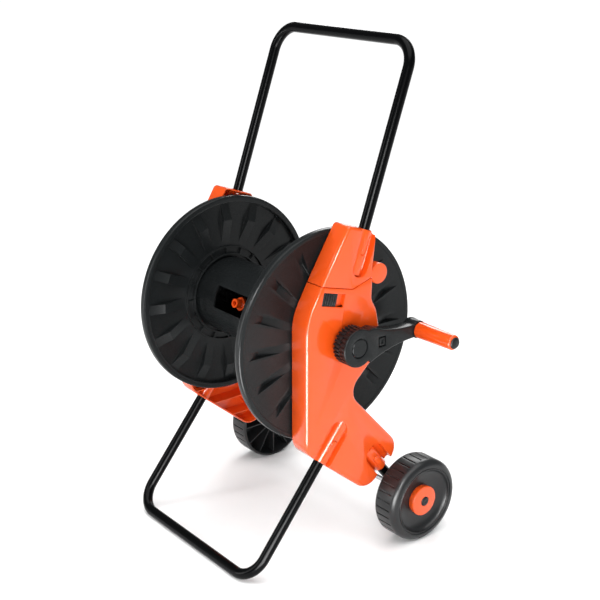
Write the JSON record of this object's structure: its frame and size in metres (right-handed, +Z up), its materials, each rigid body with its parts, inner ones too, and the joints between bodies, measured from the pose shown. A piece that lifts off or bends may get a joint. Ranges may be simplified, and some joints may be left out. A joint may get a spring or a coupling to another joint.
{
  "type": "garden hose reel cart",
  "caption": "Wheeled garden hose reel cart: ridged drum between moulded side frames, hand crank, folding tubular push handle and tubular front leg.",
  "frame": {"origin": "on the floor, under the middle of the overall box", "axes": "+X along the wheel axle and the drum's axis, towards the crank; +Y towards the user, where the handle leans and the wheels are; +Z up"},
  "size_m": [0.6069, 0.4552, 0.9555],
  "materials": {
    "frame_plastic": "moulded, semi-gloss",
    "drum_plastic": "moulded, satin",
    "black_plastic": "moulded, satin",
    "wheel_plastic": "moulded, satin",
    "tube_paint": "powder coat, gloss",
    "zinc_steel": "zinc plated",
    "bush_nylon": "natural nylon",
    "seal_rubber": "matt"
  },
  "bodies": {
    "frame": {"side_frame_right": "frame_plastic", "side_frame_left": "frame_plastic", "leg_tube": "tube_paint", "strut_right": "tube_paint", "strut_left": "tube_paint", "axle_rod": "zinc_steel", "axle_spacers": "black_plastic", "axle_caps": "black_plastic", "drum_bush_right": "bush_nylon", "drum_bush_left": "bush_nylon", "inlet_body": "drum_plastic", "inlet_collar": "drum_plastic", "inlet_nipple": "frame_plastic", "inlet_seal": "seal_rubber", "inlet_screws": "zinc_steel", "hinge_pin_right": "zinc_steel", "hinge_pin_left": "zinc_steel", "lock_spring_right": "zinc_steel", "lock_spring_left": "zinc_steel"},
    "handle": {"handle_tube": "tube_paint", "handle_socket_right": "frame_plastic", "handle_socket_left": "frame_plastic"},
    "lock_r": {"lock_button_right": "black_plastic"},
    "lock_l": {"lock_button_left": "black_plastic"},
    "drum": {"flange_right": "drum_plastic", "flange_left": "drum_plastic", "core_upper": "drum_plastic", "core_lower": "drum_plastic", "core_screws": "zinc_steel", "crank_shaft": "drum_plastic", "water_shaft": "drum_plastic", "shaft_seals": "seal_rubber", "outlet_elbow": "drum_plastic", "outlet_connector": "frame_plastic", "outlet_nut": "drum_plastic", "crank_hub": "drum_plastic", "crank_arm": "drum_plastic", "crank_cap": "drum_plastic", "crank_screw": "zinc_steel", "crank_latch": "drum_plastic", "grip_spindle": "zinc_steel"},
    "grip": {"crank_grip": "frame_plastic", "grip_plug": "black_plastic"},
    "wheel_r": {"wheel_right": "wheel_plastic", "wheel_bush_right": "bush_nylon", "hub_cap_right": "frame_plastic"},
    "wheel_l": {"wheel_left": "wheel_plastic", "wheel_bush_left": "bush_nylon", "hub_cap_left": "frame_plastic"}
  },
  "joints": [
    {"name": "drum_spin", "type": "hinge", "parent": "frame", "child": "drum", "pos_m": [-0.0375, -0.01506, 0.431], "axis": [1, 0, 0], "continuous": true},
    {"name": "grip_spin", "type": "hinge", "parent": "drum", "child": "grip", "pos_m": [0.25145, 0.12992, 0.43353], "axis": [1, 0, 0], "continuous": true},
    {"name": "wheel_right_spin", "type": "hinge", "parent": "frame", "child": "wheel_r", "pos_m": [0.19745, 0.14494, 0.0827], "axis": [1, 0, 0], "continuous": true},
    {"name": "wheel_left_spin", "type": "hinge", "parent": "frame", "child": "wheel_l", "pos_m": [-0.27245, 0.14494, 0.0827], "axis": [1, 0, 0], "continuous": true},
    {"name": "handle_fold", "type": "hinge", "parent": "frame", "child": "handle", "pos_m": [-0.0375, 0.06524, 0.544], "axis": [-1, 0, 0], "range_deg": [0, 150]},
    {"name": "lock_right_slide", "type": "slide", "parent": "frame", "child": "lock_r", "axis": [0, 0.9703, -0.2419], "range_m": [0, 0.014], "stiffness_N_per_m": 300, "springref_m": -0.005, "deforming": ["lock_spring_right"]},
    {"name": "lock_left_slide", "type": "slide", "parent": "frame", "child": "lock_l", "axis": [0, 0.9703, -0.2419], "range_m": [0, 0.014], "stiffness_N_per_m": 300, "springref_m": -0.005, "deforming": ["lock_spring_left"]}
  ]
}
